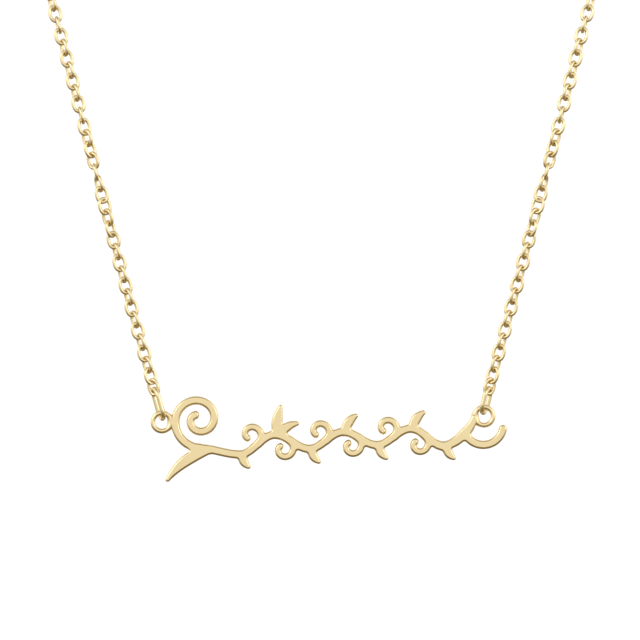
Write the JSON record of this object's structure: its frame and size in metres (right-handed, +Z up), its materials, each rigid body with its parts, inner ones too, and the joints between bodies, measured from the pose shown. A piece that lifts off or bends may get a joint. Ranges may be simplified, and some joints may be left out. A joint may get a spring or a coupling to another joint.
{
  "type": "nameplate necklace",
  "caption": "Fine oval cable chain necklace with a flat pierced vine-scroll plate hung from soldered eyelets on long jump rings, in a pale yellow gold finish.",
  "frame": {"origin": "the nape: the middle of the clasp at the back of the loop, where the necklace bears on the neck", "axes": "+Z up along the neck, +X to the right seen from the front, the plate at -Y facing -Y"},
  "size_m": [0.1136, 0.1138, 0.1064],
  "materials": {
    "plate_gold": "pale yellow gold plating, fine satin face and polished rounded edges",
    "chain_gold": "pale yellow gold plating, polished round wire",
    "clasp_gold": "pale yellow gold plating, polished"
  },
  "bodies": {
    "loop": {"chain_left": "chain_gold", "chain_right": "chain_gold", "jump_ring_left": "chain_gold", "jump_ring_right": "chain_gold", "clasp": "clasp_gold"},
    "plate": {"nameplate": "plate_gold"}
  },
  "joints": [
    {"name": "plate_swing", "type": "hinge", "parent": "loop", "child": "plate", "pos_m": [-0.0171, -0.112, -0.09633], "axis": [0.9998, 0, 0.0184], "range_deg": [-90, 90]}
  ]
}
